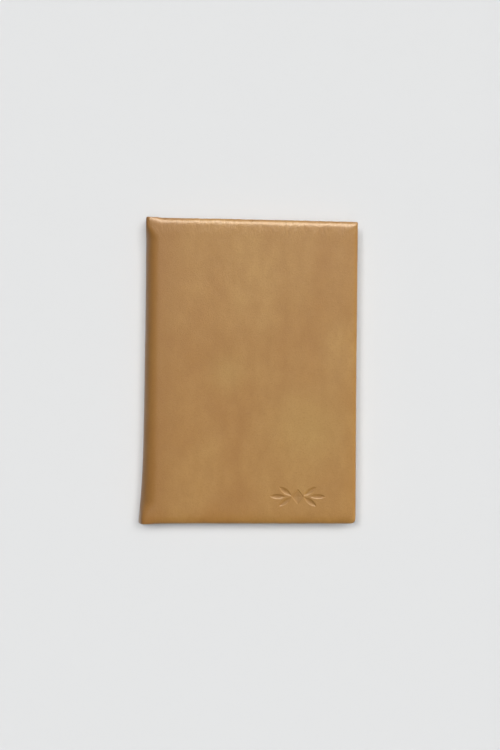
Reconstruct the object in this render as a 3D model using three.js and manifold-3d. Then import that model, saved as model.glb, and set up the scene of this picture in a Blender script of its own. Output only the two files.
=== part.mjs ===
// A refillable leather notebook cover for A5 leaves, lying closed on its back cover.
// Millimetres, +X from the spine to the fore-edge, +Y to the head, +Z up.
// The origin is under the middle of the closed cover, on the surface it lies on.
import * as THREE from "three";
import { mergeVertices } from "three/addons/utils/BufferGeometryUtils.js";
import Module from "manifold-3d";

const wasm = await Module();
wasm.setup();

// Driving dimensions: the refill.
const LEAF_WIDTH = 148;
const LEAF_HEIGHT = 210;
const SIGNATURE_THICKNESS = 1.15;
const SIGNATURES_PER_HALF = 4;
const CARD_THICKNESS = 0.4;

// Driving dimensions: the cover.
const HEAD_TAIL_SQUARE = 6; // how far the cover stands past the leaves at the head and at the tail
const FORE_EDGE_SQUARE = 4; // the same at the fore-edge
const LEATHER = 1.1;
const TURN_IN = 0.6; // thickness of the pared leather that is turned in over a board
const TURN_IN_WIDTH = 15;
const PADDING = 0.8;
const BOARD = 1.6;
const LINING = 0.5;
const LINING_INSET = 3; // from the cover's edge to the lining's edge
const SLEEVE = 0.8;
const SLEEVE_WIDTH = 95;
const SLEEVE_INSET = 1.4; // from the cover's edge to the sleeve's edge
const FORE_EDGE_CORNER = 3.2; // radius of the two outer corners of each cover
const EDGE_ROUND = 0.9; // radius of the turned edges
const SPINE_ROUND = 8; // radius over which a cover rolls into the spine
const TAIL_FLARE = 4.4; // how far the free leather of the spine bells out at the tail
const FLARE_LENGTH = 95;
const FLARE_POWER = 2.4; // how quickly the bell dies away from the tail
const BOW_POWER = 3.8; // how square the spine's bow is
const BOARD_TO_FOLD = 9; // bare leather between a fold and the edge of its board
const LINING_TO_FOLD = 4; // bare leather between a fold and the edge of the spine's lining

// Clearances.
const CARD_CLEAR = 0.15; // over and under a card in its sleeve
const CARD_SIDE_CLEAR = 0.4; // beside a card in its sleeve
const BLOCK_CLEAR = 0.2; // between the leaves and a sleeve, and between the two halves of the leaves
const FOLD_CLEAR = 0.4; // between a fold line and the leaves or the flat pieces beside it
const SPINE_LINING_CLEAR = 0.3; // between the spine's leather and its lining
const SPINE_CARD_CLEAR = 0.28; // between the spine's lining and the refill's spine card
const SPINE_CARD_TO_FOLD = 0.15; // between the refill's spine card and the line that joins the folds
const SPINE_CARD_END_CLEAR = 0.63; // between the ends of that card and the curve of the leather

// The blind-tooled sprig near the tail corner of the front cover.
const SPRIG_LENGTH = 40;
const SPRIG_WIDTH = 12;
const SPRIG_DEPTH = 0.35;
const SPRIG_FROM_FORE_EDGE = 43;
const SPRIG_FROM_TAIL = 20;
const SPRIG_LEAF = 0.27 * SPRIG_LENGTH;
const LOZENGE_HALF_LENGTH = 0.09 * SPRIG_LENGTH;
const LOZENGE_HALF_WIDTH = 0.42 * SPRIG_WIDTH;
const SIDE_LEAF_LEAN = 0.62; // radians from the sprig's axis
const SIDE_LEAF_RISE = 0.48 * SPRIG_WIDTH; // how far the tip of a side leaf stands off the axis
const SIDE_LEAF_WIDTH = 0.16 * SPRIG_WIDTH;
const SIDE_ROOT_X = 0.12 * SPRIG_LENGTH; // from the middle of the sprig to the root of a side leaf
const SIDE_ROOT_Y = 0.06 * SPRIG_WIDTH;
const END_LEAF_WIDTH = 0.17 * SPRIG_WIDTH;
const END_ROOT_X = 0.23 * SPRIG_LENGTH;

// Flats round the roll at a fold, flats across the spine, and stations along it.
const ROLL_STEPS = 6;
const BOW_STEPS = 12;
const SPINE_STATIONS = 12;
const STATION_POWER = 1.6; // crowds the stations towards the tail

// Heights of the layers in one cover, from its outer face inwards.
const PADDING_TOP = LEATHER + PADDING;
const BOARD_TOP = PADDING_TOP + BOARD;
const TURN_IN_TOP = BOARD_TOP + TURN_IN;
const LINING_TOP = TURN_IN_TOP + LINING;
const CARD_BOTTOM = LINING_TOP + CARD_CLEAR;
const SLEEVE_BOTTOM = CARD_BOTTOM + CARD_THICKNESS + CARD_CLEAR;
const SLEEVE_TOP = SLEEVE_BOTTOM + SLEEVE;
const HALF_BLOCK = SIGNATURE_THICKNESS * SIGNATURES_PER_HALF;
const MIDDLE = SLEEVE_TOP + BLOCK_CLEAR + HALF_BLOCK + BLOCK_CLEAR / 2;
const CLOSED_THICKNESS = 2 * MIDDLE;

// The fold lines run along the middle of the leather, half way round each rolled corner.
const SPINE_ROUND_MID = SPINE_ROUND - LEATHER / 2;
const FOLD_INSET = SPINE_ROUND - SPINE_ROUND_MID * Math.SQRT1_2;
const FOLD_SPAN = CLOSED_THICKNESS - 2 * FOLD_INSET;

// Plan sizes.
const COVER_HEIGHT = LEAF_HEIGHT + 2 * HEAD_TAIL_SQUARE;
const COVER_WIDTH = FOLD_INSET + FOLD_CLEAR + LEAF_WIDTH + FORE_EDGE_SQUARE;
const FORE_EDGE = (COVER_WIDTH + TAIL_FLARE) / 2;
const SPINE_FACE = FORE_EDGE - COVER_WIDTH;
const FOLD_X = SPINE_FACE + FOLD_INSET;
const BLOCK_SPINE = FOLD_X + FOLD_CLEAR;
const HALF_HEIGHT = COVER_HEIGHT / 2;
const BOARD_SPINE_EDGE = FOLD_X + BOARD_TO_FOLD;

// The spine's layers, from the leather inwards. The lining fills the room that the other layers leave.
const SPINE_LINING_X = SPINE_FACE + LEATHER + SPINE_LINING_CLEAR;
const SPINE_CARD_X = FOLD_X - SPINE_CARD_TO_FOLD - CARD_THICKNESS;
const SPINE_LINING = SPINE_CARD_X - SPINE_CARD_CLEAR - SPINE_LINING_X;
const SPINE_BOW = FOLD_INSET - LEATHER / 2; // from the line that joins the folds to the middle of the leather
const SPINE_LEATHER_TO_FOLD = 0.75 * LEATHER;
const SPINE_CARD_BOW = FOLD_X - SPINE_CARD_X + LEATHER / 2 + SPINE_CARD_END_CLEAR; // at the card's ends
const SPINE_CARD_HALF = (FOLD_SPAN / 2) * (1 - SPINE_CARD_BOW / SPINE_BOW) ** (1 / BOW_POWER);

const tan = new THREE.MeshStandardMaterial({ color: 0xac8455, roughness: 0.62, metalness: 0 });
const suede = new THREE.MeshStandardMaterial({ color: 0x9a7448, roughness: 0.95, metalness: 0 });
const foam = new THREE.MeshStandardMaterial({ color: 0xd8d2c4, roughness: 1, metalness: 0 });
const greyboard = new THREE.MeshStandardMaterial({ color: 0x8b8478, roughness: 0.95, metalness: 0 });
const card = new THREE.MeshStandardMaterial({ color: 0xb99a6b, roughness: 0.9, metalness: 0 });
const paper = new THREE.MeshStandardMaterial({ color: 0xf1ead6, roughness: 0.9, metalness: 0 });

// A mesh's geometry with only its positions, and its shared corners joined.
function welded(geometry) {
  const bare = geometry.clone();
  bare.deleteAttribute("normal");
  bare.deleteAttribute("uv");
  return mergeVertices(bare, 1e-4);
}

function solid(geometry) {
  const shape = welded(geometry);
  return new wasm.Manifold(
    new wasm.Mesh({
      numProp: 3,
      vertProperties: shape.attributes.position.array,
      triVerts: new Uint32Array(shape.index.array),
    }),
  );
}

function geometryOf(body) {
  const mesh = body.getMesh();
  const geometry = new THREE.BufferGeometry();
  geometry.setAttribute("position", new THREE.BufferAttribute(mesh.vertProperties, 3));
  geometry.setIndex(new THREE.BufferAttribute(mesh.triVerts, 1));
  return geometry;
}

// A block between two corners.
function block(x0, x1, y0, y1, z0, z1) {
  const geometry = new THREE.BoxGeometry(x1 - x0, y1 - y0, z1 - z0);
  geometry.translate((x0 + x1) / 2, (y0 + y1) / 2, (z0 + z1) / 2);
  return geometry;
}

// A cover-shaped outline: square at the spine, with rounded corners at the fore-edge.
function coverOutline(x0, x1, halfHeight, radius) {
  const outline = new THREE.Shape();
  outline.moveTo(x0, -halfHeight);
  outline.lineTo(x1 - radius, -halfHeight);
  outline.absarc(x1 - radius, radius - halfHeight, radius, -Math.PI / 2, 0, false);
  outline.absarc(x1 - radius, halfHeight - radius, radius, 0, Math.PI / 2, false);
  outline.lineTo(x0, halfHeight);
  outline.closePath();
  return outline;
}

function plate(outline, z0, z1) {
  const geometry = new THREE.ExtrudeGeometry(outline, {
    depth: z1 - z0,
    bevelEnabled: false,
    curveSegments: 6,
  });
  geometry.translate(0, 0, z0);
  return geometry;
}

// The same plate with its edges rounded over, top and bottom.
function roundedPlate(outline, z0, z1, radius) {
  const geometry = new THREE.ExtrudeGeometry(outline, {
    depth: z1 - z0 - 2 * radius,
    bevelEnabled: true,
    bevelThickness: radius,
    bevelSize: radius,
    bevelOffset: -radius,
    bevelSegments: 3,
    curveSegments: 6,
  });
  geometry.translate(0, 0, z0 + radius);
  return geometry;
}

// The roll of leather between a cover's flat face and its fold, as a section along Y.
function foldRoll() {
  const centreX = SPINE_FACE + SPINE_ROUND;
  const innerRadius = SPINE_ROUND - LEATHER;
  const reach = (FOLD_X + FOLD_CLEAR / 2 - centreX) / SPINE_ROUND;
  const lastAngle = Math.asin(-reach);
  const section = new THREE.Shape();
  section.moveTo(BOARD_SPINE_EDGE, 0);
  section.lineTo(BOARD_SPINE_EDGE, LEATHER);
  for (let i = 0; i <= ROLL_STEPS; i++) {
    const angle = (lastAngle * i) / ROLL_STEPS;
    const x = centreX - innerRadius * Math.sin(angle);
    section.lineTo(x, SPINE_ROUND - innerRadius * Math.cos(angle));
  }
  for (let i = ROLL_STEPS; i >= 0; i--) {
    const angle = (lastAngle * i) / ROLL_STEPS;
    const x = centreX - SPINE_ROUND * Math.sin(angle);
    section.lineTo(x, SPINE_ROUND - SPINE_ROUND * Math.cos(angle));
  }
  section.closePath();
  const geometry = new THREE.ExtrudeGeometry(section, { depth: COVER_HEIGHT, bevelEnabled: false });
  geometry.rotateX(Math.PI / 2);
  geometry.translate(0, HALF_HEIGHT, 0);
  return geometry;
}

// One cover's leather: an outer face, three walls round the board, and turn-ins over the board.
function coverLeather() {
  const outline = coverOutline(BOARD_SPINE_EDGE - EDGE_ROUND, FORE_EDGE, HALF_HEIGHT, FORE_EDGE_CORNER);
  const cavity = coverOutline(
    BOARD_SPINE_EDGE - 2 * EDGE_ROUND,
    FORE_EDGE - LEATHER,
    HALF_HEIGHT - LEATHER,
    FORE_EDGE_CORNER - LEATHER,
  );
  const window = block(
    BOARD_SPINE_EDGE - 2 * EDGE_ROUND,
    FORE_EDGE - TURN_IN_WIDTH,
    TURN_IN_WIDTH - HALF_HEIGHT,
    HALF_HEIGHT - TURN_IN_WIDTH,
    BOARD_TOP - PADDING,
    TURN_IN_TOP + PADDING,
  );
  const tray = solid(roundedPlate(outline, 0, TURN_IN_TOP, EDGE_ROUND));
  const trimmed = tray.subtract(
    solid(
      block(
        BOARD_SPINE_EDGE - 2 * EDGE_ROUND,
        BOARD_SPINE_EDGE,
        -COVER_HEIGHT,
        COVER_HEIGHT,
        -LEATHER,
        CLOSED_THICKNESS,
      ),
    ),
  );
  return trimmed
    .subtract(solid(plate(cavity, LEATHER, BOARD_TOP)))
    .subtract(solid(window))
    .add(solid(foldRoll()));
}

// One leaf of the sprig: two arcs that meet in points, from its root along its direction.
function leafOutline(rootX, rootY, length, width, angle) {
  const along = new THREE.Vector2(Math.cos(angle), Math.sin(angle));
  const across = new THREE.Vector2(-along.y, along.x);
  const root = new THREE.Vector2(rootX, rootY);
  const tip = root.clone().addScaledVector(along, length);
  const middle = root.clone().addScaledVector(along, length / 2);
  const upper = middle.clone().addScaledVector(across, width);
  const lower = middle.clone().addScaledVector(across, -width);
  const outline = new THREE.Shape();
  outline.moveTo(root.x, root.y);
  outline.quadraticCurveTo(lower.x, lower.y, tip.x, tip.y);
  outline.quadraticCurveTo(upper.x, upper.y, root.x, root.y);
  return outline;
}

function lozengeOutline(x, y, halfLength, halfWidth) {
  const outline = new THREE.Shape();
  outline.moveTo(x - halfLength, y);
  outline.lineTo(x, y - halfWidth);
  outline.lineTo(x + halfLength, y);
  outline.lineTo(x, y + halfWidth);
  outline.closePath();
  return outline;
}

// The stamps that press the sprig: a lozenge in the middle, and three leaves to each side of it.
function sprigStamps() {
  const x = FORE_EDGE - SPRIG_FROM_FORE_EDGE;
  const y = HALF_HEIGHT - SPRIG_FROM_TAIL;
  const sideLeaf = Math.min(SIDE_LEAF_RISE / Math.sin(SIDE_LEAF_LEAN), SPRIG_LEAF);
  const stamps = [lozengeOutline(x, y, LOZENGE_HALF_LENGTH, LOZENGE_HALF_WIDTH)];
  for (const side of [0, Math.PI]) {
    const sideX = x + Math.cos(side) * SIDE_ROOT_X;
    const endX = x + Math.cos(side) * END_ROOT_X;
    for (const lean of [SIDE_LEAF_LEAN, -SIDE_LEAF_LEAN]) {
      const sideY = y + Math.sign(Math.sin(side + lean)) * SIDE_ROOT_Y;
      stamps.push(leafOutline(sideX, sideY, sideLeaf, SIDE_LEAF_WIDTH, side + lean));
    }
    stamps.push(leafOutline(endX, y, SPRIG_LEAF, END_LEAF_WIDTH, side));
  }
  return stamps;
}

// The front cover is modelled face down and then turned over about X,
// so the stamps press in from below and its tail is at +Y.
function frontLeather() {
  let body = coverLeather();
  for (const outline of sprigStamps()) {
    body = body.subtract(solid(plate(outline, -LEATHER, SPRIG_DEPTH)));
  }
  return body;
}

function padding() {
  const outline = coverOutline(
    BOARD_SPINE_EDGE,
    FORE_EDGE - LEATHER,
    HALF_HEIGHT - LEATHER,
    FORE_EDGE_CORNER - LEATHER,
  );
  return plate(outline, LEATHER, PADDING_TOP);
}

function board() {
  const outline = coverOutline(
    BOARD_SPINE_EDGE,
    FORE_EDGE - LEATHER,
    HALF_HEIGHT - LEATHER,
    FORE_EDGE_CORNER - LEATHER,
  );
  return plate(outline, PADDING_TOP, BOARD_TOP);
}

// The lining fills the window between the turn-ins and laps over them.
function lining() {
  const fill = block(
    BOARD_SPINE_EDGE,
    FORE_EDGE - TURN_IN_WIDTH,
    TURN_IN_WIDTH - HALF_HEIGHT,
    HALF_HEIGHT - TURN_IN_WIDTH,
    BOARD_TOP,
    LINING_TOP,
  );
  const sheet = coverOutline(
    BOARD_SPINE_EDGE,
    FORE_EDGE - LINING_INSET,
    HALF_HEIGHT - LINING_INSET,
    FORE_EDGE_CORNER,
  );
  return solid(fill).add(solid(plate(sheet, TURN_IN_TOP, LINING_TOP)));
}

// A full-height pocket: one sheet on rails at the head, the tail and the fore-edge.
function sleeve() {
  const outerX = FORE_EDGE - SLEEVE_INSET;
  const mouthX = outerX - SLEEVE_WIDTH;
  const halfHeight = HALF_HEIGHT - SLEEVE_INSET;
  const outline = coverOutline(mouthX, outerX, halfHeight, FORE_EDGE_CORNER);
  const pocket = block(
    mouthX - LEATHER,
    BLOCK_SPINE + LEAF_WIDTH + CARD_SIDE_CLEAR,
    -LEAF_HEIGHT / 2 - CARD_SIDE_CLEAR,
    LEAF_HEIGHT / 2 + CARD_SIDE_CLEAR,
    LINING_TOP - PADDING,
    SLEEVE_BOTTOM,
  );
  const raised = coverOutline(
    mouthX - LEATHER,
    FORE_EDGE - LINING_INSET,
    HALF_HEIGHT - LINING_INSET,
    FORE_EDGE_CORNER,
  );
  return solid(plate(outline, TURN_IN_TOP, SLEEVE_TOP))
    .subtract(solid(plate(raised, TURN_IN_TOP - PADDING, LINING_TOP)))
    .subtract(solid(pocket));
}

// A refill's cover card, which slides into the sleeve.
function refillCard() {
  return block(
    BLOCK_SPINE,
    BLOCK_SPINE + LEAF_WIDTH,
    -LEAF_HEIGHT / 2,
    LEAF_HEIGHT / 2,
    CARD_BOTTOM,
    CARD_BOTTOM + CARD_THICKNESS,
  );
}

// A sewn gathering of leaves: folded round at the spine, trimmed square on the other three sides.
function signature(bottom) {
  const radius = SIGNATURE_THICKNESS / 2;
  const section = new THREE.Shape();
  section.moveTo(BLOCK_SPINE + LEAF_WIDTH, bottom + SIGNATURE_THICKNESS);
  section.lineTo(BLOCK_SPINE + radius, bottom + SIGNATURE_THICKNESS);
  section.absarc(BLOCK_SPINE + radius, bottom + radius, radius, Math.PI / 2, 1.5 * Math.PI, false);
  section.lineTo(BLOCK_SPINE + LEAF_WIDTH, bottom);
  section.closePath();
  const geometry = new THREE.ExtrudeGeometry(section, {
    depth: LEAF_HEIGHT,
    bevelEnabled: false,
    curveSegments: 6,
  });
  geometry.rotateX(Math.PI / 2);
  geometry.translate(0, LEAF_HEIGHT / 2, 0);
  return geometry;
}

// How far the free leather of the spine stands out past its straight part, along Y.
function flareAt(y) {
  const fromTail = y + HALF_HEIGHT;
  const share = Math.max(0, 1 - fromTail / FLARE_LENGTH);
  return TAIL_FLARE * share ** FLARE_POWER;
}

// The spine's leather in section at one height along Y: a soft bow between the two folds.
function spineSection(y) {
  const bow = SPINE_BOW + flareAt(y);
  const last = 1 - (2 * SPINE_LEATHER_TO_FOLD) / FOLD_SPAN;
  const outer = [];
  const inner = [];
  for (let i = 0; i <= BOW_STEPS; i++) {
    const share = last * ((2 * i) / BOW_STEPS - 1);
    const z = MIDDLE + (share * FOLD_SPAN) / 2;
    const x = FOLD_X - bow * (1 - Math.abs(share) ** BOW_POWER);
    const steepness = BOW_POWER * Math.abs(share) ** (BOW_POWER - 1);
    const slope = (Math.sign(share) * bow * steepness) / (FOLD_SPAN / 2);
    const length = Math.hypot(1, slope);
    const normalX = (-1 / length) * (LEATHER / 2);
    const normalZ = (slope / length) * (LEATHER / 2);
    outer.push([x + normalX, z + normalZ]);
    inner.push([x - normalX, z - normalZ]);
  }
  return [...outer, ...inner.reverse()];
}

// A closed body through like sections set along Y.
function loft(stations, sectionAt) {
  const rings = stations.map((y) => sectionAt(y).map(([x, z]) => [x, y, z]));
  const count = rings[0].length;
  const positions = rings.flat(2);
  const faces = [];
  for (let r = 0; r + 1 < rings.length; r++) {
    for (let i = 0; i < count; i++) {
      const j = (i + 1) % count;
      const a = r * count + i;
      const b = r * count + j;
      faces.push(a, b, b + count, a, b + count, a + count);
    }
  }
  const cap = rings[0].map(([x, , z]) => new THREE.Vector2(x, z));
  const last = (rings.length - 1) * count;
  for (const [a, b, c] of THREE.ShapeUtils.triangulateShape(cap, [])) {
    faces.push(a, b, c, last + a, last + c, last + b);
  }
  const geometry = new THREE.BufferGeometry();
  geometry.setAttribute("position", new THREE.Float32BufferAttribute(positions, 3));
  geometry.setIndex(faces);
  return geometry;
}

function spineLeather() {
  const stations = [];
  for (let i = 0; i <= SPINE_STATIONS; i++) {
    const share = (i / SPINE_STATIONS) ** STATION_POWER;
    stations.push(-HALF_HEIGHT + share * COVER_HEIGHT);
  }
  return loft(stations, spineSection);
}

// A flat strip inside the spine, its outer face at x.
function spineStrip(x, thickness, halfHeight, halfWidth) {
  return block(x, x + thickness, -halfHeight, halfHeight, MIDDLE - halfWidth, MIDDLE + halfWidth);
}

function addPiece(group, name, shape, material) {
  const geometry = shape.isBufferGeometry ? shape : geometryOf(shape);
  geometry.computeVertexNormals();
  const mesh = new THREE.Mesh(geometry, material.clone());
  mesh.name = name;
  group.add(mesh);
}

const notebookCover = new THREE.Group();

// The back cover, face down, with the back card and the lower half of the leaves on it.
const back = new THREE.Group();
addPiece(back, "back_leather", coverLeather(), tan);
addPiece(back, "back_padding", padding(), foam);
addPiece(back, "back_board", board(), greyboard);
addPiece(back, "back_lining", lining(), suede);
addPiece(back, "back_sleeve", sleeve(), tan);
addPiece(back, "refill_back_card", refillCard(), card);
notebookCover.add(back);

// The front cover is the same assembly turned over about X.
const front = new THREE.Group();
addPiece(front, "front_leather", frontLeather(), tan);
addPiece(front, "front_padding", padding(), foam);
addPiece(front, "front_board", board(), greyboard);
addPiece(front, "front_lining", lining(), suede);
addPiece(front, "front_sleeve", sleeve(), tan);
addPiece(front, "refill_front_card", refillCard(), card);
front.rotation.x = Math.PI;
front.position.z = CLOSED_THICKNESS;
notebookCover.add(front);

const spine = new THREE.Group();
addPiece(spine, "spine_leather", spineLeather(), tan);
addPiece(
  spine,
  "spine_lining",
  spineStrip(SPINE_LINING_X, SPINE_LINING, HALF_HEIGHT - LINING_INSET, FOLD_SPAN / 2 - LINING_TO_FOLD),
  suede,
);
addPiece(
  spine,
  "refill_spine_card",
  spineStrip(SPINE_CARD_X, CARD_THICKNESS, LEAF_HEIGHT / 2, SPINE_CARD_HALF),
  card,
);
notebookCover.add(spine);

// The leaves, numbered from the front of the book: the upper half turns, the lower half stays.
const leaves = new THREE.Group();
for (let i = 0; i < SIGNATURES_PER_HALF; i++) {
  const fromMiddle = (i + 1) * SIGNATURE_THICKNESS + BLOCK_CLEAR / 2;
  const upper = SIGNATURES_PER_HALF - i;
  const lower = SIGNATURES_PER_HALF + 1 + i;
  const upperBottom = MIDDLE + fromMiddle - SIGNATURE_THICKNESS;
  addPiece(leaves, "signature_" + upper, signature(upperBottom), paper);
  addPiece(leaves, "signature_" + lower, signature(MIDDLE - fromMiddle), paper);
}
notebookCover.add(leaves);

export default notebookCover;
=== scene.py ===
# A refillable notebook cover in tan leather, lying closed on its back cover, made as a bookbinder makes it:
# boards, felt, leather turned in over them, linings, sleeves, and the sewn refill that slides into them.
import bmesh
import bpy
import math
import random
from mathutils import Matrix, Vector, noise


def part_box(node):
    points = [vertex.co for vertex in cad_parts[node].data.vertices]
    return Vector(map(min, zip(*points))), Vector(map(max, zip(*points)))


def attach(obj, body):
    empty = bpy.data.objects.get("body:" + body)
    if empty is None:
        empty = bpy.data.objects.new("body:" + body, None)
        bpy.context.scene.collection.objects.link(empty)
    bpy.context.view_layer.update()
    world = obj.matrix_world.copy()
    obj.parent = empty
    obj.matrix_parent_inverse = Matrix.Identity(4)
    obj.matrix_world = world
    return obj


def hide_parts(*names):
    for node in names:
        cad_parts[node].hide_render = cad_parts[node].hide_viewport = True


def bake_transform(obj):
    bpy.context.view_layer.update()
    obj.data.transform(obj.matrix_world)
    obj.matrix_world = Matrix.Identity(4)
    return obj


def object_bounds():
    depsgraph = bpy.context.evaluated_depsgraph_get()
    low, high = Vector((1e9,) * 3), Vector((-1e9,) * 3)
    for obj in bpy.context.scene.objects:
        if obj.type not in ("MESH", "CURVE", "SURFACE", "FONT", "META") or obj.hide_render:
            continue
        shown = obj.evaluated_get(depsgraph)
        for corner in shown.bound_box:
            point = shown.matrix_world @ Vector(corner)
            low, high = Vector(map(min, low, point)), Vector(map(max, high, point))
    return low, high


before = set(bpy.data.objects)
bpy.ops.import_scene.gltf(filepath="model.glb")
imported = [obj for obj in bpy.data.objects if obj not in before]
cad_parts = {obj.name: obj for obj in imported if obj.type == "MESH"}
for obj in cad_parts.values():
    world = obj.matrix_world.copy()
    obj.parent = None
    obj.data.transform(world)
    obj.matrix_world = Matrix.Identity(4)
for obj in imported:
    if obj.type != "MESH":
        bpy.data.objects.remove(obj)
cad_low, cad_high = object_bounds()


# Greyboards
# A sheet of millboard stiffens each cover. It is cut square, 1.6 mm thick, and glued inside the leather,
# so only its pressed grey pulp needs a finish.
MM = 0.001
GREYBOARD = (0.26, 0.24, 0.205)
GREYBOARD_FLECK = (0.13, 0.12, 0.11)
PULP_GRAIN = 0.6 * MM
FIBRE_PATCH = 14  # the cloudy patches of a fibrous finish, in grains
FIBRE_PATCH_SHARE = 0.35
FLECK_SHARE = 0.55


def start_finish(name, colour, roughness):
    """A new material: its node tree and its shader, set to one colour and roughness."""
    material = bpy.data.materials.new(name)
    material.use_nodes = True
    shader = material.node_tree.nodes["Principled BSDF"]
    shader.inputs["Base Color"].default_value = (*colour, 1)
    shader.inputs["Roughness"].default_value = roughness
    return material, material.node_tree, shader


def piece_place(tree):
    """Where a point lies on a piece that never bends."""
    return tree.nodes.new("ShaderNodeTexCoord").outputs["Object"]


def noise_at(tree, place, grain, detail=3.0, roughness=0.55):
    """Cloudy noise whose patches are about one grain across, in metres."""
    node = tree.nodes.new("ShaderNodeTexNoise")
    node.inputs["Scale"].default_value = 1 / grain
    node.inputs["Detail"].default_value = detail
    node.inputs["Roughness"].default_value = roughness
    tree.links.new(place, node.inputs["Vector"])
    return node.outputs["Fac"]


def spread(tree, value, low, high, to_low=0.0, to_high=1.0):
    """Maps low..high to to_low..to_high, and holds it there outside."""
    node = tree.nodes.new("ShaderNodeMapRange")
    for socket, number in zip(("From Min", "From Max", "To Min", "To Max"), (low, high, to_low, to_high)):
        node.inputs[socket].default_value = number
    tree.links.new(value, node.inputs["Value"])
    return node.outputs["Result"]


def tint(tree, share, first, second):
    """Mixes two colours, each one a tuple or a socket, by a share of the second."""
    node = tree.nodes.new("ShaderNodeMix")
    node.data_type = "RGBA"
    tree.links.new(share, node.inputs["Factor"])
    for socket, colour in ((node.inputs[6], first), (node.inputs[7], second)):
        if isinstance(colour, tuple):
            socket.default_value = (*colour, 1)
        else:
            tree.links.new(colour, socket)
    return node.outputs[2]


def relief(tree, height, distance, under=None, strength=1.0):
    """A bump of the given height in metres, laid over another bump if there is one."""
    node = tree.nodes.new("ShaderNodeBump")
    node.inputs["Distance"].default_value = distance
    node.inputs["Strength"].default_value = strength
    tree.links.new(height, node.inputs["Height"])
    if under is not None:
        tree.links.new(under, node.inputs["Normal"])
    return node.outputs["Normal"]


def fibre_finish(name, colour, fleck, grain, roughness=0.95, bump=0.1 * MM):
    """A matt fibrous finish with flecks of a second colour: board, card, felt or suede."""
    material, tree, shader = start_finish(name, colour, roughness)
    place = piece_place(tree)
    coarse = noise_at(tree, place, FIBRE_PATCH * grain, 4)
    fine = noise_at(tree, place, grain, 6, 0.7)
    base = tint(tree, spread(tree, coarse, 0.35, 0.7, 0, FIBRE_PATCH_SHARE), colour, fleck)
    mixed = tint(tree, spread(tree, fine, 0.52, 0.72, 0, FLECK_SHARE), base, fleck)
    tree.links.new(mixed, shader.inputs["Base Color"])
    tree.links.new(relief(tree, fine, bump), shader.inputs["Normal"])
    return material


def refinish(piece, material):
    """Makes a material the only one of a piece or a CAD node."""
    piece.data.materials.clear()
    piece.data.materials.append(material)


greyboard = fibre_finish("greyboard", GREYBOARD, GREYBOARD_FLECK, PULP_GRAIN)
for node in ("front_board", "back_board"):
    refinish(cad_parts[node], greyboard)


# Felt padding
# A thin sheet of pressed wool felt lies between each board and its leather and gives the soft, crowned face.
# It is cut a little smaller than the board, and its edges are pared so that the leather can roll over them.
COVERS = {"front": (2.0, 1.0), "back": (31.0, 0.0)}  # the seed of its unevenness, and its share of the crown
HIDE = 0.66 * MM
HEAD_REACH = 5.2 * MM  # how wide the padded edge rolls over at the head and tail
FORE_REACH = 2.6 * MM  # and at the fore-edge
EDGE_DROP = 2.3 * MM
CROWN_FALL = 0.85 * MM
CROWN_WIDTH = 12 * MM
HOLLOW = 0.16 * MM  # the face's slow unevenness, and the length of its waves
HOLLOW_LENGTH = 48 * MM
RIPPLE = 0.05 * MM
RIPPLE_LENGTH = 17 * MM
FELT_INSET = 1.5 * MM
FELT_GRID = 2.5 * MM
FELT_CLEAR = 0.06 * MM  # between the felt and the leather
FELT_NAP = 0.02 * MM
FELT_NAP_LENGTH = 6 * MM
BOARD_CLEAR = 0.03 * MM
PARED_EDGE = 0.45  # the share of its thickness that the felt keeps at its rim
PARED_WIDTH = 2 * MM
FELT = (0.68, 0.63, 0.54)
FELT_FLECK = (0.5, 0.45, 0.37)
felt_finish = fibre_finish("pressed_felt", FELT, FELT_FLECK, 0.9 * MM, bump=0.2 * MM)


def paint(piece, material):
    """Gives a new piece its only material."""
    refinish(piece, material)


def only(piece):
    """Makes a piece the active object and the only one selected."""
    bpy.ops.object.select_all(action="DESELECT")
    piece.select_set(True)
    bpy.context.view_layer.objects.active = piece


def add_grid(name, low, high, z, spacing):
    """A flat sheet between two corners at one height, divided into squares of about one spacing."""
    width = high.x - low.x
    height = high.y - low.y
    bpy.ops.object.select_all(action="DESELECT")
    bpy.ops.mesh.primitive_grid_add(
        x_subdivisions=max(1, round(width / spacing)),
        y_subdivisions=max(1, round(height / spacing)),
        size=1,
        location=((low.x + high.x) / 2, (low.y + high.y) / 2, z),
    )
    piece = bpy.context.object
    piece.name = name
    piece.scale = (width, height, 1)
    bpy.ops.object.transform_apply(location=True, rotation=True, scale=True)
    return piece


def pick(piece, kind, wanted):
    """In edit mode, selects the corners, edges or faces whose corners all stand where wanted says."""
    bpy.ops.mesh.select_mode(type=kind)
    bpy.ops.mesh.select_all(action="DESELECT")
    shape = bmesh.from_edit_mesh(piece.data)
    if kind == "VERT":
        for corner in shape.verts:
            corner.select = wanted(corner.co)
    elif kind == "EDGE":
        for edge in shape.edges:
            edge.select_set(edge.is_boundary and all(wanted(corner.co) for corner in edge.verts))
    else:
        for face in shape.faces:
            face.select_set(all(wanted(corner.co) for corner in face.verts))
    bmesh.update_edit_mesh(piece.data)


def finish_modifier(piece, kind, **settings):
    """Adds a modifier with these settings and applies it."""
    only(piece)
    modifier = piece.modifiers.new(kind.lower(), kind)
    for name, value in settings.items():
        setattr(modifier, name, value)
    bpy.ops.object.modifier_apply(modifier=modifier.name)


def shape_by_hand(piece, move):
    """Moves every corner of a piece to where move puts it."""
    for corner in piece.data.vertices:
        corner.co = move(corner.co)
    piece.data.update()


def smooth(piece, angle):
    """Shades a piece smooth, and keeps edges sharper than the angle."""
    only(piece)
    bpy.ops.object.shade_smooth_by_angle(angle=math.radians(angle))


def close_outwards(piece):
    """Turns every face of a closed shell outwards."""
    only(piece)
    bpy.ops.object.mode_set(mode="EDIT")
    bpy.ops.mesh.select_all(action="SELECT")
    bpy.ops.mesh.normals_make_consistent(inside=False)
    bpy.ops.object.mode_set(mode="OBJECT")


def ease(value):
    """A smooth step from 0 to 1."""
    value = min(1.0, max(0.0, value))
    return value * value * (3 - 2 * value)


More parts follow.
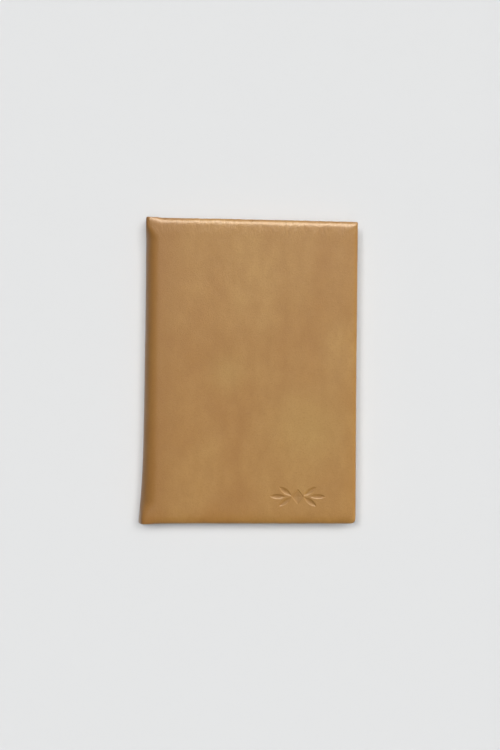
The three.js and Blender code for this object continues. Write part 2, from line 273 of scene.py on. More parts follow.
def waves(x, y, seed, length):
    """Gentle noise with waves of about one length."""
    return noise.noise(Vector((x / length, y / length, seed)))


cover_low, cover_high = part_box("front_leather")
head = cover_high.y
fore_edge = cover_high.x
closed = cad_high.z
cover_thickness = cover_high.z - cover_low.z
board_low, board_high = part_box("front_board")


def crown(x, y, seed, lift):
    """How far the padded face lies below its highest level: it falls away to the edges, and is never flat."""
    edge = min(head - abs(y), fore_edge - x)
    fall = CROWN_FALL * max(0.0, 1 - edge / CROWN_WIDTH) ** 2
    hollow = HOLLOW * (waves(x, y, seed, HOLLOW_LENGTH) + 0.5)
    ripple = RIPPLE * waves(x, y, seed + 5, RIPPLE_LENGTH)
    return lift * (fall + max(0.0, hollow + ripple))


def edge_roll(distance, reach):
    """How far the leather falls where it rolls over an edge, at a distance in from it."""
    share = min(1.0, max(0.0, 1 - distance / reach))
    return EDGE_DROP * (1 - math.sqrt(1 - share * share))


def turn_over(piece):
    """Turns a front cover's piece into the back cover's, mirrored across the middle of the book."""
    shape_by_hand(piece, lambda place: Vector((place.x, place.y, closed - place.z)))
    close_outwards(piece)


def felt_sheet(name, seed, lift):
    """The front cover's felt, from the board up to the underside of the leather."""
    low = Vector((board_low.x + FELT_INSET, board_low.y + FELT_INSET, 0))
    high = Vector((board_high.x - FELT_INSET, board_high.y - FELT_INSET, 0))
    piece = add_grid(name, low, high, 0, FELT_GRID)
    finish_modifier(piece, "SOLIDIFY", thickness=MM, offset=1)
    close_outwards(piece)

    def press(place):
        drop = crown(place.x, place.y, seed, lift) + HIDE
        drop += edge_roll(head - abs(place.y), HEAD_REACH) + edge_roll(fore_edge - place.x, FORE_REACH)
        rim = min(high.x - place.x, place.x - low.x, high.y - abs(place.y))
        top = closed - drop - FELT_CLEAR - FELT_NAP * waves(place.x, place.y, seed, FELT_NAP_LENGTH)
        bottom = board_high.z + BOARD_CLEAR
        if place.z < MM / 2:
            return Vector((place.x, place.y, bottom))
        kept = PARED_EDGE + (1 - PARED_EDGE) * ease(rim / PARED_WIDTH)
        return Vector((place.x, place.y, bottom + (top - bottom) * kept))

    shape_by_hand(piece, press)
    return piece


for side, (seed, lift) in COVERS.items():
    felt = felt_sheet(side + "_felt", seed, lift)
    if side == "back":
        turn_over(felt)
    smooth(felt, 50)
    paint(felt, felt_finish)
    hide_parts(side + "_padding")
    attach(felt, side)


# Cover leather
# One hide covers the whole book. It is laid over the felt, rolled softly round the spine without a stiffener,
# and turned in over three sides of each board. Here it is two halves that meet along the spine's middle.
ROLL_WIDTH = 10.6 * MM  # how far from the spine's face the roll begins
ROLL_DEPTH = 9.5 * MM
PINCH = 0.74  # how much tighter the roll is at the very ends
PINCH_LENGTH = 17 * MM
SPINE_HEM = 1.7 * MM  # thickness of the doubled leather at the head and tail of the spine
INNER_ROUND = 1.2 * MM
TURN_IN_WIDTH = 15 * MM
HEAD_CORNER = 1.1 * MM
TAIL_CORNER = 3.6 * MM
TAIL_FLARE = 4.4 * MM
GRID = 1.1 * MM
EDGE_STEPS = 7
ROLL_STEPS = 5
TURN_IN_STEPS = 4
PARE_REACH = 7 * MM  # how far past the roll's start the doubled leather is down to the hem's thickness
ROLL_LEAD = 3 * MM  # how far before the roll the spine's own shape starts
GATHER = 0.42 * MM  # the rounded gathers along the head and tail, their fade and their width
GATHER_FADE = 4.5 * MM
GATHER_WIDTH = 9 * MM
CREASE = 0.40 * MM  # and the sharper creases among them
CREASE_FADE = 6 * MM
CREASE_WIDTH = 3.6 * MM
GATHER_SLANT = 0.8
PULL_LENGTH = 26 * MM  # between the stretches that are pulled hard and those left slack
EDGE_CREEP = 0.6  # how far a gather shifts the edge, beside how far it lifts the face
HEAD_WANDER = 0.2 * MM
HEAD_WANDER_LENGTH = 55 * MM
HEAD_SLOPE = 0.35 * MM
FORE_WANDER = 0.15 * MM
FORE_WANDER_LENGTH = 60 * MM
FORE_SPLAY = 0.4 * MM
SPINE_STRETCH = 0.9 * MM  # how far the spine's leather reaches past the head, and half as far at the tail
STRETCH_START = 0.86  # where that begins, as a share of the way to the head
BELL = 4.0 * MM  # how far the spine's leather bells out at the tail, and over what length
BELL_LENGTH = 30 * MM
EAR = 0.7 * MM
EAR_LENGTH = 5 * MM
WAIST = 0.25 * MM
WAIST_LENGTH = 35 * MM
BELL_LEAD = 1.5 * MM

spine_face = cad_low.x + TAIL_FLARE
roll_start = spine_face + ROLL_WIDTH
roll_length = (ROLL_WIDTH + ROLL_DEPTH) / 2 * math.pi / 2
half_spine = roll_length + closed / 2 - ROLL_DEPTH


def turned_edge_profile():
    """Steps round a turned edge, each the distance out at the fore-edge, out at the head, and down."""
    places = [(0.0, 0.0, 0.0)]
    for i in range(1, EDGE_STEPS + 1):
        turn = math.pi / 2 * i / EDGE_STEPS
        down = EDGE_DROP * (1 - math.cos(turn))
        places.append((FORE_REACH * math.sin(turn), HEAD_REACH * math.sin(turn), down))
    for i in range(1, ROLL_STEPS + 1):
        turn = math.pi / 2 * i / ROLL_STEPS
        back = INNER_ROUND * (1 - math.cos(turn))
        down = cover_thickness - INNER_ROUND * (1 - math.sin(turn))
        places.append((FORE_REACH - back, HEAD_REACH - back, down))
    for i in range(1, TURN_IN_STEPS + 1):
        back = INNER_ROUND + TURN_IN_WIDTH * i / TURN_IN_STEPS
        places.append((FORE_REACH - back, HEAD_REACH - back, cover_thickness))
    return places


def turn_edges(piece, spine_end, places):
    """Extrudes the three free sides of a sheet round the places of an edge profile."""
    bpy.ops.object.mode_set(mode="EDIT")
    pick(piece, "EDGE", lambda place: True)
    shape = bmesh.from_edit_mesh(piece.data)
    for edge in shape.edges:
        if edge.select and all(abs(corner.co.x - spine_end) < 1e-6 for corner in edge.verts):
            edge.select_set(False)
    bmesh.update_edit_mesh(piece.data)
    width = max(corner.co.x for corner in shape.verts) - spine_end
    height = 2 * max(corner.co.y for corner in shape.verts)
    for (out_x, out_y, down), (next_x, next_y, next_down) in zip(places, places[1:]):
        bpy.ops.mesh.extrude_edges_move(TRANSFORM_OT_translate={"value": (0, 0, down - next_down)})
        stretch_x = (width + next_x) / (width + out_x)
        stretch_y = (height + 2 * next_y) / (height + 2 * out_y)
        bpy.ops.transform.resize(value=(stretch_x, stretch_y, 1), center_override=(spine_end, 0, 0))
    bpy.ops.object.mode_set(mode="OBJECT")


def round_corners(place, head_radius, tail_radius):
    """Rounds the two outer corners of a square-cut cover in plan."""
    radius = head_radius if place.y > 0 else tail_radius
    x = place.x - (fore_edge - radius)
    y = abs(place.y) - (head - radius)
    if x <= 0 or y <= 0:
        return place
    share = max(x, y) / math.hypot(x, y)
    side = math.copysign(1, place.y)
    return Vector((fore_edge - radius + x * share, side * (head - radius + y * share), place.z))


def pucker(x, y, seed):
    """Small gathers and slanting creases of the hide where it is pulled over the head and tail edges."""
    edge = max(0.0, head - abs(y))
    side = seed + (3.1 if y > 0 else 9.7)
    slant = x + GATHER_SLANT * edge
    uneven = 0.75 + 1.1 * waves(x, 0, side + 7, PULL_LENGTH)
    gathers = GATHER * math.exp(-edge / GATHER_FADE) * waves(slant, 0.25 * edge, side, GATHER_WIDTH)
    creases = CREASE * math.exp(-edge / CREASE_FADE) * waves(slant, 0.45 * edge, side + 2, CREASE_WIDTH)
    return max(0.25, uneven) * (gathers + creases)


def belling(y):
    """How far the spine's free leather stands out: a bell at the tail, a waist, and an ear at the head."""
    bell = BELL * math.exp(-(y + head) / BELL_LENGTH)
    ear = EAR * math.exp(-(head - y) / EAR_LENGTH)
    return bell + ear - WAIST * ease(y / WAIST_LENGTH)


def near_head(y):
    """Rises from 0 to 1 over the last stretch before the head."""
    return ease((y - STRETCH_START * head) / ((1 - STRETCH_START) * head))


def roll(past, depth, y):
    """Where a point of the roll goes: wide and round along the spine, and pinched tight at its ends."""
    pinch = PINCH * ease(1.3 * (1 - (head - abs(y)) / PINCH_LENGTH))
    width = ROLL_WIDTH * (1 - pinch)
    deep = ROLL_DEPTH * (1 - pinch)
    arc = (width + deep) / 2 * math.pi / 2
    flat = ROLL_WIDTH - width
    wall = ROLL_DEPTH - deep
    along = min(past, roll_length) * (flat + arc + wall) / roll_length
    turn = math.pi / 2 * min(max(0.0, along - flat) / arc, 1.0)
    facing = Vector((math.sin(turn) / width, 0, math.cos(turn) / deep)).normalized()
    x = roll_start - min(along, flat) - width * math.sin(turn) + depth * facing.x
    z = closed - deep * (1 - math.cos(turn)) - depth * facing.z
    z -= max(0.0, along - flat - arc) + max(0.0, past - roll_length)
    return x, z


def form_leather(flat, seed, lift):
    """Where a point of the flat, turned-in hide goes on the front cover."""
    depth = closed - flat.z
    place = round_corners(flat, HEAD_CORNER, TAIL_CORNER)
    x, y = place.x, place.y
    outer = 1 - depth / cover_thickness
    past = roll_start - x
    reach = ease((past + ROLL_LEAD) / (roll_length + ROLL_LEAD))
    gathers = pucker(x, y, seed)
    y += math.copysign(EDGE_CREEP * gathers * ease((abs(y) - head + HEAD_REACH) / HEAD_REACH), y)
    y += HEAD_WANDER * waves(x, math.copysign(head, y), seed + 11, HEAD_WANDER_LENGTH) * abs(y) / head
    y -= HEAD_SLOPE * ease(y / head) * ease(x / fore_edge)
    y += reach * SPINE_STRETCH * (near_head(y) - 0.5 * near_head(-y))
    pared = ease((board_low.x - x) / (board_low.x - roll_start + PARE_REACH))
    depth *= 1 + (SPINE_HEM / cover_thickness - 1) * pared
    low = outer * (crown(x, y, seed, lift) - gathers * lift)
    if past <= 0:
        wander = FORE_WANDER * waves(0, y, seed + 15, FORE_WANDER_LENGTH)
        x += (wander + FORE_SPLAY * ease(-y / head)) * ease(x / fore_edge)
        return Vector((x, y, closed - depth - low))
    depth += low * (1 - reach)
    x, z = roll(past, depth, y)
    return Vector((x - belling(y) * ease((past - BELL_LEAD) / roll_length), y, z))


def remember(piece, name, values):
    """Stores a number or a place for each corner, for the finish to read."""
    kind = "FLOAT_VECTOR" if isinstance(values[0], Vector) else "FLOAT"
    attribute = piece.data.attributes.new(name, kind, "POINT")
    for item, value in zip(attribute.data, values):
        if kind == "FLOAT":
            item.value = value
        else:
            item.vector = value


# The mark near the tail corner of the front is pressed in blind with a heated brass stamp.
# It is a plain sprig: a lozenge with three leaves to each side.
SPRIG_LENGTH = 40 * MM
SPRIG_WIDTH = 13 * MM
SPRIG_DEPTH = 0.6 * MM
STAMP_STEP = 0.5  # the share of the stamp's depth that is its step; the rest is its hollow
STEP_START = 0.4  # how far along the step's slope the outline lies
LOZENGE_HALF_LENGTH = 0.11 * SPRIG_LENGTH
LOZENGE_HALF_WIDTH = 0.42 * SPRIG_WIDTH
LOZENGE_WALL = 0.36 * MM
SPRIG_LEAF_LENGTH = 0.27 * SPRIG_LENGTH
SPRIG_LEAF_WIDTH = 0.26 * SPRIG_WIDTH
SPRIG_LEAF_WALL = 0.3 * MM
LEAN = 0.62  # of the side leaves, in radians
SIDE_LEAF_LENGTH = min(0.48 * SPRIG_WIDTH / math.sin(LEAN), SPRIG_LEAF_LENGTH)
SIDE_ROOT_X = 0.12 * SPRIG_LENGTH
SIDE_ROOT_Y = 0.06 * SPRIG_WIDTH
END_ROOT_X = 0.23 * SPRIG_LENGTH
FINE_REACH_X = 0.56 * SPRIG_LENGTH  # the hide is divided finely this far from the sprig's middle
FINE_REACH_Y = 0.72 * SPRIG_WIDTH
FINE_CUTS = 4
OUTER_FACE = 0.1 * MM  # a point of the flat sheet less deep than this is on its outer face
sprig_x = fore_edge - 43 * MM
sprig_y = -head + 20 * MM


def step_and_hollow(inside, wall, share):
    """How deep the stamp presses at a distance inside an outline: a step, then a hollow to the middle."""
    return STAMP_STEP * ease(inside / wall + STEP_START) + (1 - STAMP_STEP) * max(0.0, share)


def leaf_depth(x, y, root_x, root_y, length, angle):
    """How deep a leaf of the stamp presses at a point, from 0 to 1."""
    along = (x - root_x) * math.cos(angle) + (y - root_y) * math.sin(angle)
    across = -(x - root_x) * math.sin(angle) + (y - root_y) * math.cos(angle)
    share = along / length
    if not 0 < share < 1:
        return 0.0
    inside = 2 * SPRIG_LEAF_WIDTH * share * (1 - share) - abs(across)
    return step_and_hollow(inside, SPRIG_LEAF_WALL, inside / (SPRIG_LEAF_WIDTH / 2))


def sprig_depth(x, y):
    """How deep the whole stamp presses at a point, from 0 to 1."""
    if abs(x - sprig_x) > FINE_REACH_X or abs(y - sprig_y) > FINE_REACH_Y:
        return 0.0
    share = 1 - abs(x - sprig_x) / LOZENGE_HALF_LENGTH - abs(y - sprig_y) / LOZENGE_HALF_WIDTH
    deepest = step_and_hollow(share * LOZENGE_HALF_LENGTH, LOZENGE_WALL, share)
    for side in (0, math.pi):
        facing = math.cos(side)
        for lean in (LEAN, -LEAN):
            up = math.copysign(SIDE_ROOT_Y, math.sin(side + lean))
            root_x = sprig_x + facing * SIDE_ROOT_X
            leaf = leaf_depth(x, y, root_x, sprig_y + up, SIDE_LEAF_LENGTH, side + lean)
            deepest = max(deepest, leaf)
        leaf = leaf_depth(x, y, sprig_x + facing * END_ROOT_X, sprig_y, SPRIG_LEAF_LENGTH, side)
        deepest = max(deepest, leaf)
    return deepest


RUBBED_PLACES = (
    (-15 * MM, 0.0, 13 * MM, 0.8),
    (45 * MM, -40 * MM, 24 * MM, 1.0),
)  # x, y, width and strength


def rub(x, y):
    """How much the hide is rubbed paler at a point: in the middle, and where the hand holds the tail."""
    rubbed = 0.0
    for rub_x, rub_y, width, strength in RUBBED_PLACES:
        rubbed += strength * math.exp(-((x - rub_x) ** 2 + (y - rub_y) ** 2) / width**2)
    return rubbed


def half_hide(name, seed, lift, stamped):
    """One half of the cover's leather, as the front one: a flat sheet, turned in, thickened, then formed."""
    low = Vector((roll_start - half_spine, -head + HEAD_REACH, 0))
    high = Vector((fore_edge - FORE_REACH, head - HEAD_REACH, 0))
    piece = add_grid(name, low, high, closed, GRID)
    turn_edges(piece, low.x, turned_edge_profile())
    finish_modifier(piece, "SOLIDIFY", thickness=HIDE, offset=-1)
    close_outwards(piece)
    if stamped:
        bpy.ops.object.mode_set(mode="EDIT")
        pick(
            piece,
            "FACE",
            lambda place: closed - place.z < OUTER_FACE
            and abs(place.x - sprig_x) < FINE_REACH_X
            and abs(place.y - sprig_y) < FINE_REACH_Y,
        )
        bpy.ops.mesh.subdivide(number_cuts=FINE_CUTS)
        bpy.ops.object.mode_set(mode="OBJECT")
    tooled = []
    painted_spine_shade = []
    rubbed = []
    gathered = []
    for corner in piece.data.vertices:
        pulled = 1.0 if corner.co.y > 0 else TAIL_PULL
        gathered.append(pulled * math.exp(min(0.0, abs(corner.co.y) - head) / GATHER_LENGTH))
        # Painted shade: the hide is painted darker toward the spine, where the spine's side lies in shade.
        painted_spine_shade.append(1 - ease((corner.co.x - spine_face) / PAINTED_SHADE_WIDTH))
        rubbed.append(rub(corner.co.x, corner.co.y))
        pressed = 0.0
        if stamped and closed - corner.co.z < OUTER_FACE:
            pressed = sprig_depth(corner.co.x, corner.co.y)
        tooled.append(pressed)
        formed = form_leather(corner.co, seed, lift)
        formed.z -= SPRIG_DEPTH * pressed
        corner.co = formed
    remember(piece, "tooled", tooled)
    remember(piece, "painted_spine_shade", painted_spine_shade)
    remember(piece, "rubbed", rubbed)
    remember(piece, "gathered", gathered)
    return piece


TAN = (0.412, 0.203, 0.050)
TAN_LIGHT = (0.478, 0.266, 0.075)
TAN_DARK = (0.322, 0.143, 0.031)
TAN_BURNT = (0.235, 0.110, 0.034)
TAN_RUBBED = (0.455, 0.275, 0.075)
PAINTED_SHADE_WIDTH = 34 * MM  # how far from the spine the painted shade darkens the hide
GATHER_LENGTH = 6.5 * MM  # how far in from the head and tail the hide is wrinkled
TAIL_PULL = 0.3  # how wrinkled the tail is beside the head
STREAK = 0.6  # the clouds of the hide are drawn out along its height
CLOUD = 36 * MM
CLOUD_SHARE = 0.85
PATCH = 10 * MM
PATCH_SHARE = 0.42
SPECK = 1.3 * MM
SPECK_SHARE = 0.5
RUBBED_SHARE = 0.5
PAINTED_SHADE_SHARE = 0.65
STAMPED_SHARE = 0.24
PORE = 0.85 * MM
PORE_DEPTH = 0.04 * MM
SPECK_DEPTH = 0.12 * MM
PATCH_DEPTH = 0.08 * MM
WRINKLE = 2.0 * MM
WRINKLE_DEPTH = 1.2 * MM
WRINKLE_STRETCH = (1, 0.42, 1)
WRINKLE_SLANT = 28  # degrees


def times(tree, first, second):
    """The product of two values."""
    node = tree.nodes.new("ShaderNodeMath")
    node.operation = "MULTIPLY"
    tree.links.new(first, node.inputs[0])
    tree.links.new(second, node.inputs[1])
    return node.outputs[0]


def turned_place(tree, place, scale, degrees):
    """A place stretched and turned, for a pattern that runs one way."""
    node = tree.nodes.new("ShaderNodeMapping")
    node.inputs["Scale"].default_value = scale
    node.inputs["Rotation"].default_value = (0, 0, math.radians(degrees))
    tree.links.new(place, node.inputs["Vector"])
    return node.outputs["Vector"]


def remembered(tree, name, output="Fac"):
    """Reads what a piece remembers at each corner, or 0 where it has nothing of that name."""
    node = tree.nodes.new("ShaderNodeAttribute")
    node.attribute_name = name
    return node.outputs[output]


def leather_finish():
    """Smooth waxed hide: clouded tan, fine pores, a little darker where the hot stamp has pressed it, and
    darker toward the spine with painted shade.
    """
    material, tree, shader = start_finish("tan_hide", TAN, 0.5)
    place = remembered(tree, "lie", "Vector")
    stamp = remembered(tree, "tooled")
    spine_shade = remembered(tree, "painted_spine_shade")
    wear = remembered(tree, "rubbed")
    pull = remembered(tree, "gathered")
    drawn = turned_place(tree, place, (1, STREAK, 1), 0)
    clouds = noise_at(tree, drawn, CLOUD, 2.5, 0.5)
    patches = spread(tree, noise_at(tree, drawn, PATCH, 3, 0.6), 0.3, 0.75)
    colour = tint(tree, spread(tree, clouds, 0.36, 0.68, 0, CLOUD_SHARE), TAN, TAN_LIGHT)
    colour = tint(tree, spread(tree, patches, 0, 1, PATCH_SHARE, 0), colour, TAN_DARK)
    colour = tint(tree, spread(tree, wear, 0, 1, 0, RUBBED_SHARE), colour, TAN_RUBBED)
    speck = noise_at(tree, place, SPECK, 5, 0.65)
    colour = tint(tree, spread(tree, speck, 0.5, 0.75, 0, SPECK_SHARE), colour, TAN_DARK)
    # Painted shade: the hide is darker toward the spine.
    colour = tint(tree, spread(tree, spine_shade, 0, 1, 0, PAINTED_SHADE_SHARE), colour, TAN_DARK)
    colour = tint(tree, spread(tree, stamp, 0.1, 0.8, 0, STAMPED_SHARE), colour, TAN_BURNT)
    tree.links.new(colour, shader.inputs["Base Color"])
    pores = tree.nodes.new("ShaderNodeTexVoronoi")
    pores.feature = "DISTANCE_TO_EDGE"
    pores.inputs["Scale"].default_value = 1 / PORE
    tree.links.new(place, pores.inputs["Vector"])
    creases = spread(tree, pores.outputs["Distance"], 0.0, 0.22)
    grain = relief(tree, creases, PORE_DEPTH)
    grain = relief(tree, speck, SPECK_DEPTH, grain)
    grain = relief(tree, patches, PATCH_DEPTH, grain)
    wrinkles = noise_at(tree, turned_place(tree, place, WRINKLE_STRETCH, WRINKLE_SLANT), WRINKLE, 3, 0.6)
    grain = relief(tree, times(tree, wrinkles, pull), WRINKLE_DEPTH, grain)
    tree.links.new(grain, shader.inputs["Normal"])
    tree.links.new(spread(tree, patches, 0, 1, 0.49, 0.42), shader.inputs["Roughness"])
    shader.inputs["Specular IOR Level"].default_value = 0.34
    shader.inputs["Coat Weight"].default_value = 0.4
    shader.inputs["Coat Roughness"].default_value = 0.28
    return material


hide_finish = leather_finish()

front_hide = half_hide("front_hide", *COVERS["front"], stamped=True)
back_hide = half_hide("back_hide", *COVERS["back"], stamped=False)
turn_over(back_hide)
for piece in (front_hide, back_hide):
    close_outwards(piece)
    remember(piece, "lie", [corner.co.copy() for corner in piece.data.vertices])
    smooth(piece, 45)
    paint(piece, hide_finish)
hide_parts("front_leather", "spine_leather")
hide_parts("back_leather", "spine_leather")
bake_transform(front_hide)
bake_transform(back_hide)


# Linings
# A sheet of thin suede covers each board's inner face and the turned-in leather, and a strip lines the spine.
# The edge of the turn-ins shows through as a faint step.
SUEDE = (0.29, 0.165, 0.075)
SUEDE_NAP = (0.36, 0.215, 0.105)
LINING = 0.5 * MM
LINING_GRID = 3 * MM
LINING_BEVEL = 0.15 * MM
LINING_CORNER = 6 * MM
TURN_IN_STEP = 0.12 * MM
SUEDE_SWELL = 0.03 * MM
SUEDE_SWELL_LENGTH = 9 * MM
suede = fibre_finish("brushed_suede", SUEDE, SUEDE_NAP, 0.5 * MM, bump=0.12 * MM)


def lining_sheet(node, facing):
    """A lining whose face looks up (1) or down (-1)."""
    low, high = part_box(node)
    face = high.z if facing > 0 else low.z
    piece = add_grid(node + "_suede", low, high, face, LINING_GRID)
    finish_modifier(piece, "SOLIDIFY", thickness=LINING, offset=-facing)
    close_outwards(piece)
    finish_modifier(piece, "BEVEL", width=LINING_BEVEL, segments=2, limit_method="ANGLE")
    window_x = fore_edge - TURN_IN_WIDTH
    window_y = head - TURN_IN_WIDTH

    def lay(place):
        place = round_corners(place, LINING_CORNER, LINING_CORNER)
        inside = ease((window_x - place.x) / MM + 0.5) * ease((window_y - abs(place.y)) / MM + 0.5)
        swell = SUEDE_SWELL * waves(place.x, place.y, 4.2, SUEDE_SWELL_LENGTH)
        return place - Vector((0, 0, facing * (TURN_IN_STEP * inside + swell)))

    shape_by_hand(piece, lay)
    smooth(piece, 35)
    paint(piece, suede)
    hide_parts(node)
    return piece


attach(lining_sheet("front_lining", -1), "front")
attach(lining_sheet("back_lining", 1), "back")

refinish(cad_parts["spine_lining"], suede)


# Sleeves
# A leather pocket on each lining, glued down at the head, tail and fore-edge, holds the refill's card cover.
# Its mouth faces the spine and has a creased line along it.
SLEEVE_HIDE = 0.6 * MM
SLEEVE_GRID = 4 * MM
CREASE_FROM_MOUTH = 2.6 * MM
CREASE_DEPTH = 0.16 * MM
CREASE_HALF = 0.4 * MM
CREASE_CUT = 0.45 * MM
SLEEVE_SWELL = 0.05 * MM
SLEEVE_SWELL_LENGTH = 22 * MM
SLEEVE_ROUND = 0.55 * MM
SLEEVE_STEPS = 3


def sleeve_pocket(node, facing):
    """A sleeve whose outer face looks up (1) or down (-1)."""
    low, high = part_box(node)
    lining_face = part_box(node.replace("sleeve", "lining"))[1 if facing > 0 else 0].z
    face = high.z if facing > 0 else low.z
    rise = abs(face - lining_face)
    flat_low = Vector((low.x, low.y + SLEEVE_ROUND, 0))
    flat_high = Vector((high.x - SLEEVE_ROUND, high.y - SLEEVE_ROUND, 0))
    piece = add_grid(node + "_leather", flat_low, flat_high, rise, SLEEVE_GRID)
    crease = low.x + CREASE_FROM_MOUTH
    bpy.ops.object.mode_set(mode="EDIT")
    for shift in (-CREASE_CUT, 0, CREASE_CUT):
        bpy.ops.mesh.select_all(action="SELECT")
        bpy.ops.mesh.bisect(plane_co=(crease + shift, 0, 0), plane_no=(1, 0, 0), use_fill=False)
    bpy.ops.object.mode_set(mode="OBJECT")
    places = [(0.0, 0.0, 0.0)]
    for i in range(1, SLEEVE_STEPS + 1):
        turn = math.pi / 2 * i / SLEEVE_STEPS
        out = SLEEVE_ROUND * math.sin(turn)
        places.append((out, out, SLEEVE_ROUND * (1 - math.cos(turn))))
    places.append((SLEEVE_ROUND, SLEEVE_ROUND, rise))
    turn_edges(piece, low.x, places)
    finish_modifier(piece, "SOLIDIFY", thickness=SLEEVE_HIDE, offset=-1)
    close_outwards(piece)

    def press(place):
        sink = 0.0
        if place.z > 0.5 * rise:
            sink += max(0.0, SLEEVE_SWELL * waves(place.x, place.y, 6.6, SLEEVE_SWELL_LENGTH))
        if place.z > 0.8 * rise:
            sink += CREASE_DEPTH * max(0.0, 1 - abs(place.x - crease) / CREASE_HALF)
        return Vector((place.x, place.y, lining_face + facing * (place.z - sink)))

    shape_by_hand(piece, press)
    close_outwards(piece)
    remember(piece, "lie", [corner.co.copy() for corner in piece.data.vertices])
    smooth(piece, 40)
    paint(piece, hide_finish)
    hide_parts(node)
    return piece


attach(sleeve_pocket("front_sleeve", -1), "front")
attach(sleeve_pocket("back_sleeve", 1), "back")


# Refill card cover
# The refill comes in a plain wrapper of brown card: a front and a back, which slide into the sleeves,
# and a strip across its spine.
KRAFT = (0.50, 0.345, 0.165)
KRAFT_FIBRE = (0.36, 0.23, 0.1)
kraft = fibre_finish("kraft_card", KRAFT, KRAFT_FIBRE, 0.35 * MM, bump=0.03 * MM)
for node in ("refill_front_card", "refill_spine_card", "refill_back_card"):
    refinish(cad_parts[node], kraft)


# Signatures
# The refill is eight sewn gatherings, each of six sheets folded one inside the other into twelve leaves,
# trimmed on three sides and feint ruled.
SHEETS = 6
LEAF_THICKNESS = 0.072 * MM
LEAF_STEPS_X = 10
FOLD_STEPS = 4
TRIM_PLAY = 0.28  # in millimetres, how unevenly the sheets of a signature are trimmed
RULE_PITCH = 7 * MM
RULE_WIDTH = 0.32 * MM
RULE_SHARE = 0.6
HEAD_MARGIN = 19 * MM
TAIL_MARGIN = 12 * MM
MARGIN_EDGE = 0.1 * MM
CREAM = (0.84, 0.79, 0.66)
CREAM_WARM = (0.80, 0.73, 0.57)
RULE_BLUE = (0.46, 0.54, 0.62)


def paper_finish():
    """Uncoated cream paper with feint lines across it, from a margin at the head to one at the tail."""
    material, tree, shader = start_finish("cream_paper", CREAM, 0.85)
    place = piece_place(tree)
    fibres = noise_at(tree, place, 0.5 * MM, 5, 0.7)
    toned = tint(tree, spread(tree, noise_at(tree, place, 30 * MM), 0.35, 0.7, 0, 0.6), CREAM, CREAM_WARM)
    split = tree.nodes.new("ShaderNodeSeparateXYZ")
    tree.links.new(place, split.inputs[0])
    pitch = tree.nodes.new("ShaderNodeMath")
    pitch.operation = "PINGPONG"
    pitch.inputs[1].default_value = RULE_PITCH / 2
    tree.links.new(split.outputs["Y"], pitch.inputs[0])
    line = spread(tree, pitch.outputs[0], RULE_WIDTH / 2, RULE_WIDTH, 1, 0)
    page_low, page_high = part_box("signature_4")
    first_rule = page_high.y - HEAD_MARGIN
    last_rule = page_low.y + TAIL_MARGIN
    below_head = spread(tree, split.outputs["Y"], first_rule, first_rule + MARGIN_EDGE, 1, 0)
    above_tail = spread(tree, split.outputs["Y"], last_rule, last_rule + MARGIN_EDGE, 0, 1)
    ruled = times(tree, times(tree, below_head, above_tail), line)
    colour = tint(tree, spread(tree, ruled, 0, 1, 0, RULE_SHARE), toned, RULE_BLUE)
    tree.links.new(colour, shader.inputs["Base Color"])
    tree.links.new(relief(tree, fibres, 0.02 * MM), shader.inputs["Normal"])
    return material


def folded_sheet(name, low, high, half_gap, trim):
    """One sheet folded at the spine: a lower leaf, the fold, and an upper leaf."""
    middle = (low.z + high.z) / 2
    left = low.x + (high.z - low.z) / 2
    piece = add_grid(
        name,
        Vector((left, low.y + trim, 0)),
        Vector((high.x - trim, high.y - trim, 0)),
        middle - half_gap,
        (high.x - low.x) / LEAF_STEPS_X,
    )
    bpy.ops.object.mode_set(mode="EDIT")
    pick(piece, "EDGE", lambda place: abs(place.x - left) < 1e-6)
    for i in range(FOLD_STEPS):
        turn = math.pi * i / FOLD_STEPS
        next_turn = math.pi * (i + 1) / FOLD_STEPS
        step_x = half_gap * (math.sin(turn) - math.sin(next_turn))
        step_z = half_gap * (math.cos(turn) - math.cos(next_turn))
        bpy.ops.mesh.extrude_edges_move(TRANSFORM_OT_translate={"value": (step_x, 0, step_z)})
    for _ in range(LEAF_STEPS_X):
        step = (high.x - trim - left) / LEAF_STEPS_X
        bpy.ops.mesh.extrude_edges_move(TRANSFORM_OT_translate={"value": (step, 0, 0)})
    bpy.ops.object.mode_set(mode="OBJECT")
    finish_modifier(piece, "SOLIDIFY", thickness=LEAF_THICKNESS, offset=0)
    close_outwards(piece)
    return piece


def gathering(node, seed):
    """A signature in the space of its CAD node."""
    low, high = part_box(node)
    rng = random.Random(seed)
    pitch = (high.z - low.z) / (2 * SHEETS)
    sheets = []
    for i in range(SHEETS):
        trim = rng.uniform(0.0, TRIM_PLAY) * MM
        sheets.append(folded_sheet(f"{node}_sheet_{i}", low, high, pitch * (i + 0.5), trim))
    bpy.ops.object.select_all(action="DESELECT")
    for sheet in sheets:
        sheet.select_set(True)
    bpy.context.view_layer.objects.active = sheets[0]
    bpy.ops.object.join()
    piece = bpy.context.object
    piece.name = node + "_leaves"
    smooth(piece, 30)
    paint(piece, paper)
    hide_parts(node)
    return piece


paper = paper_finish()
for number in range(1, 9):
    body = "leaves" if number <= 4 else "back"
    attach(gathering(f"signature_{number}", number), body)


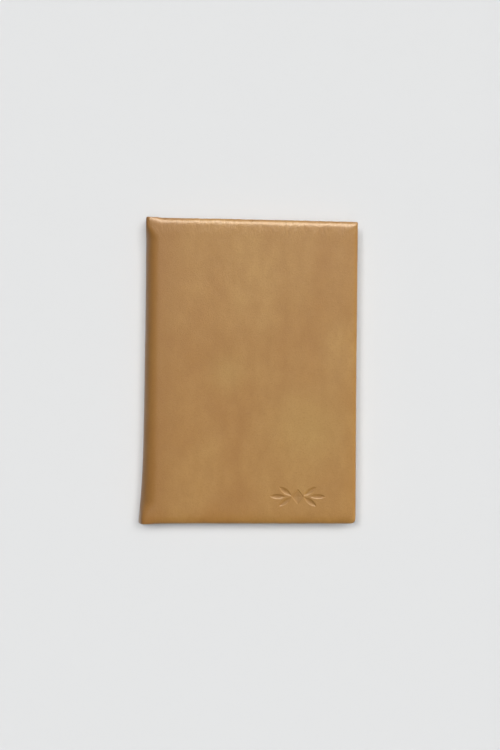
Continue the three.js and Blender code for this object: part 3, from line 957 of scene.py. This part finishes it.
# Studio
# A plain pale floor and soft lights, each of which reaches either the floor or the book. A warm strip light
# beyond the head shows only as a gloss on the book. The camera stands almost straight above.
FLOOR = (0.60, 0.60, 0.60)
FLOOR_SIZE = 12
WHITE = (1, 1, 1)
COOL_WHITE = (0.985, 0.995, 1)
FLOOR_LIGHTS = (
    ("left_softbox", (-0.31, 0.25, 1), 0.53, 19),
    ("right_softbox", (0.19, 0.25, 1), 0.535, 28),
    ("tail_softbox", (0, -0.2, 1), 0.135, 16),
)  # name, direction, strength and width in degrees
BOOK_LIGHTS = (
    ("window", (0.66, 0.6, 1), 0.57, 30),
    ("overhead", (0, 0.1, 1), 0.3, 40),
)
STRIP_LENGTH = 1.3
STRIP_WIDTH = 0.62
STRIP_POWER = 84
STRIP_COLOUR = (1, 0.84, 0.66)
STRIP_PLACE = Vector((0.3, 1.37, 1.45))
FILL = 0.12
SENSOR_HEIGHT = 36
LENS = 58.05
CAMERA_PLACE = (-0.06516, 0.00436, 0.9)
CAMERA_TURN = (-0.483, -4.313, 0.555)  # degrees

floor_finish, _, floor_shader = start_finish("pale_floor", FLOOR, 0.9)
floor_shader.inputs["Specular IOR Level"].default_value = 0
bpy.ops.object.select_all(action="DESELECT")
bpy.ops.mesh.primitive_plane_add(size=FLOOR_SIZE, location=(0, 0, 0))
floor = bpy.context.object
floor.name = "floor"
floor.data.materials.append(floor_finish)


def soft_light(name, direction, strength, spread_degrees, colour, floor_link):
    """A distant soft light; its strength is what it adds on a level white surface.

    It reaches only the floor if floor_link is INCLUDE, and all but the floor if it is EXCLUDE.
    """
    towards = Vector(direction).normalized()
    lamp = bpy.data.lights.new(name, "SUN")
    lamp.energy = strength * math.pi / towards.z
    lamp.angle = math.radians(spread_degrees)
    lamp.color = colour
    light = bpy.data.objects.new(name, lamp)
    light.rotation_euler = towards.to_track_quat("Z", "Y").to_euler()
    light.visible_glossy = False
    bpy.context.scene.collection.objects.link(light)
    group = bpy.data.collections.new(name + "_reach")
    group.objects.link(floor)
    group.collection_objects[0].light_linking.link_state = floor_link
    light.light_linking.receiver_collection = group


for name, direction, strength, width in FLOOR_LIGHTS:
    soft_light(name, direction, strength, width, COOL_WHITE, "INCLUDE")
for name, direction, strength, width in BOOK_LIGHTS:
    soft_light(name, direction, strength, width, WHITE, "EXCLUDE")

strip_lamp = bpy.data.lights.new("strip_light", "AREA")
strip_lamp.shape = "RECTANGLE"
strip_lamp.size = STRIP_LENGTH
strip_lamp.size_y = STRIP_WIDTH
strip_lamp.energy = STRIP_POWER
strip_lamp.color = STRIP_COLOUR
strip_light = bpy.data.objects.new("strip_light", strip_lamp)
strip_light.location = STRIP_PLACE
strip_light.rotation_euler = STRIP_PLACE.to_track_quat("Z", "Y").to_euler()
strip_light.visible_diffuse = False
bpy.context.scene.collection.objects.link(strip_light)

world = bpy.data.worlds.new("studio")
bpy.context.scene.world = world
world.use_nodes = True
world.node_tree.nodes["Background"].inputs["Color"].default_value = (*WHITE, 1)
world.node_tree.nodes["Background"].inputs["Strength"].default_value = FILL

camera_data = bpy.data.cameras.new("camera")
camera_data.sensor_fit = "VERTICAL"
camera_data.sensor_height = SENSOR_HEIGHT
camera_data.lens = LENS
camera_data.clip_start = 0.01
camera = bpy.data.objects.new("camera", camera_data)
camera.location = CAMERA_PLACE
camera.rotation_euler = [math.radians(angle) for angle in CAMERA_TURN]
bpy.context.scene.collection.objects.link(camera)
bpy.context.scene.camera = camera
bpy.context.scene.view_settings.view_transform = "Standard"
bpy.context.scene.view_settings.look = "None"
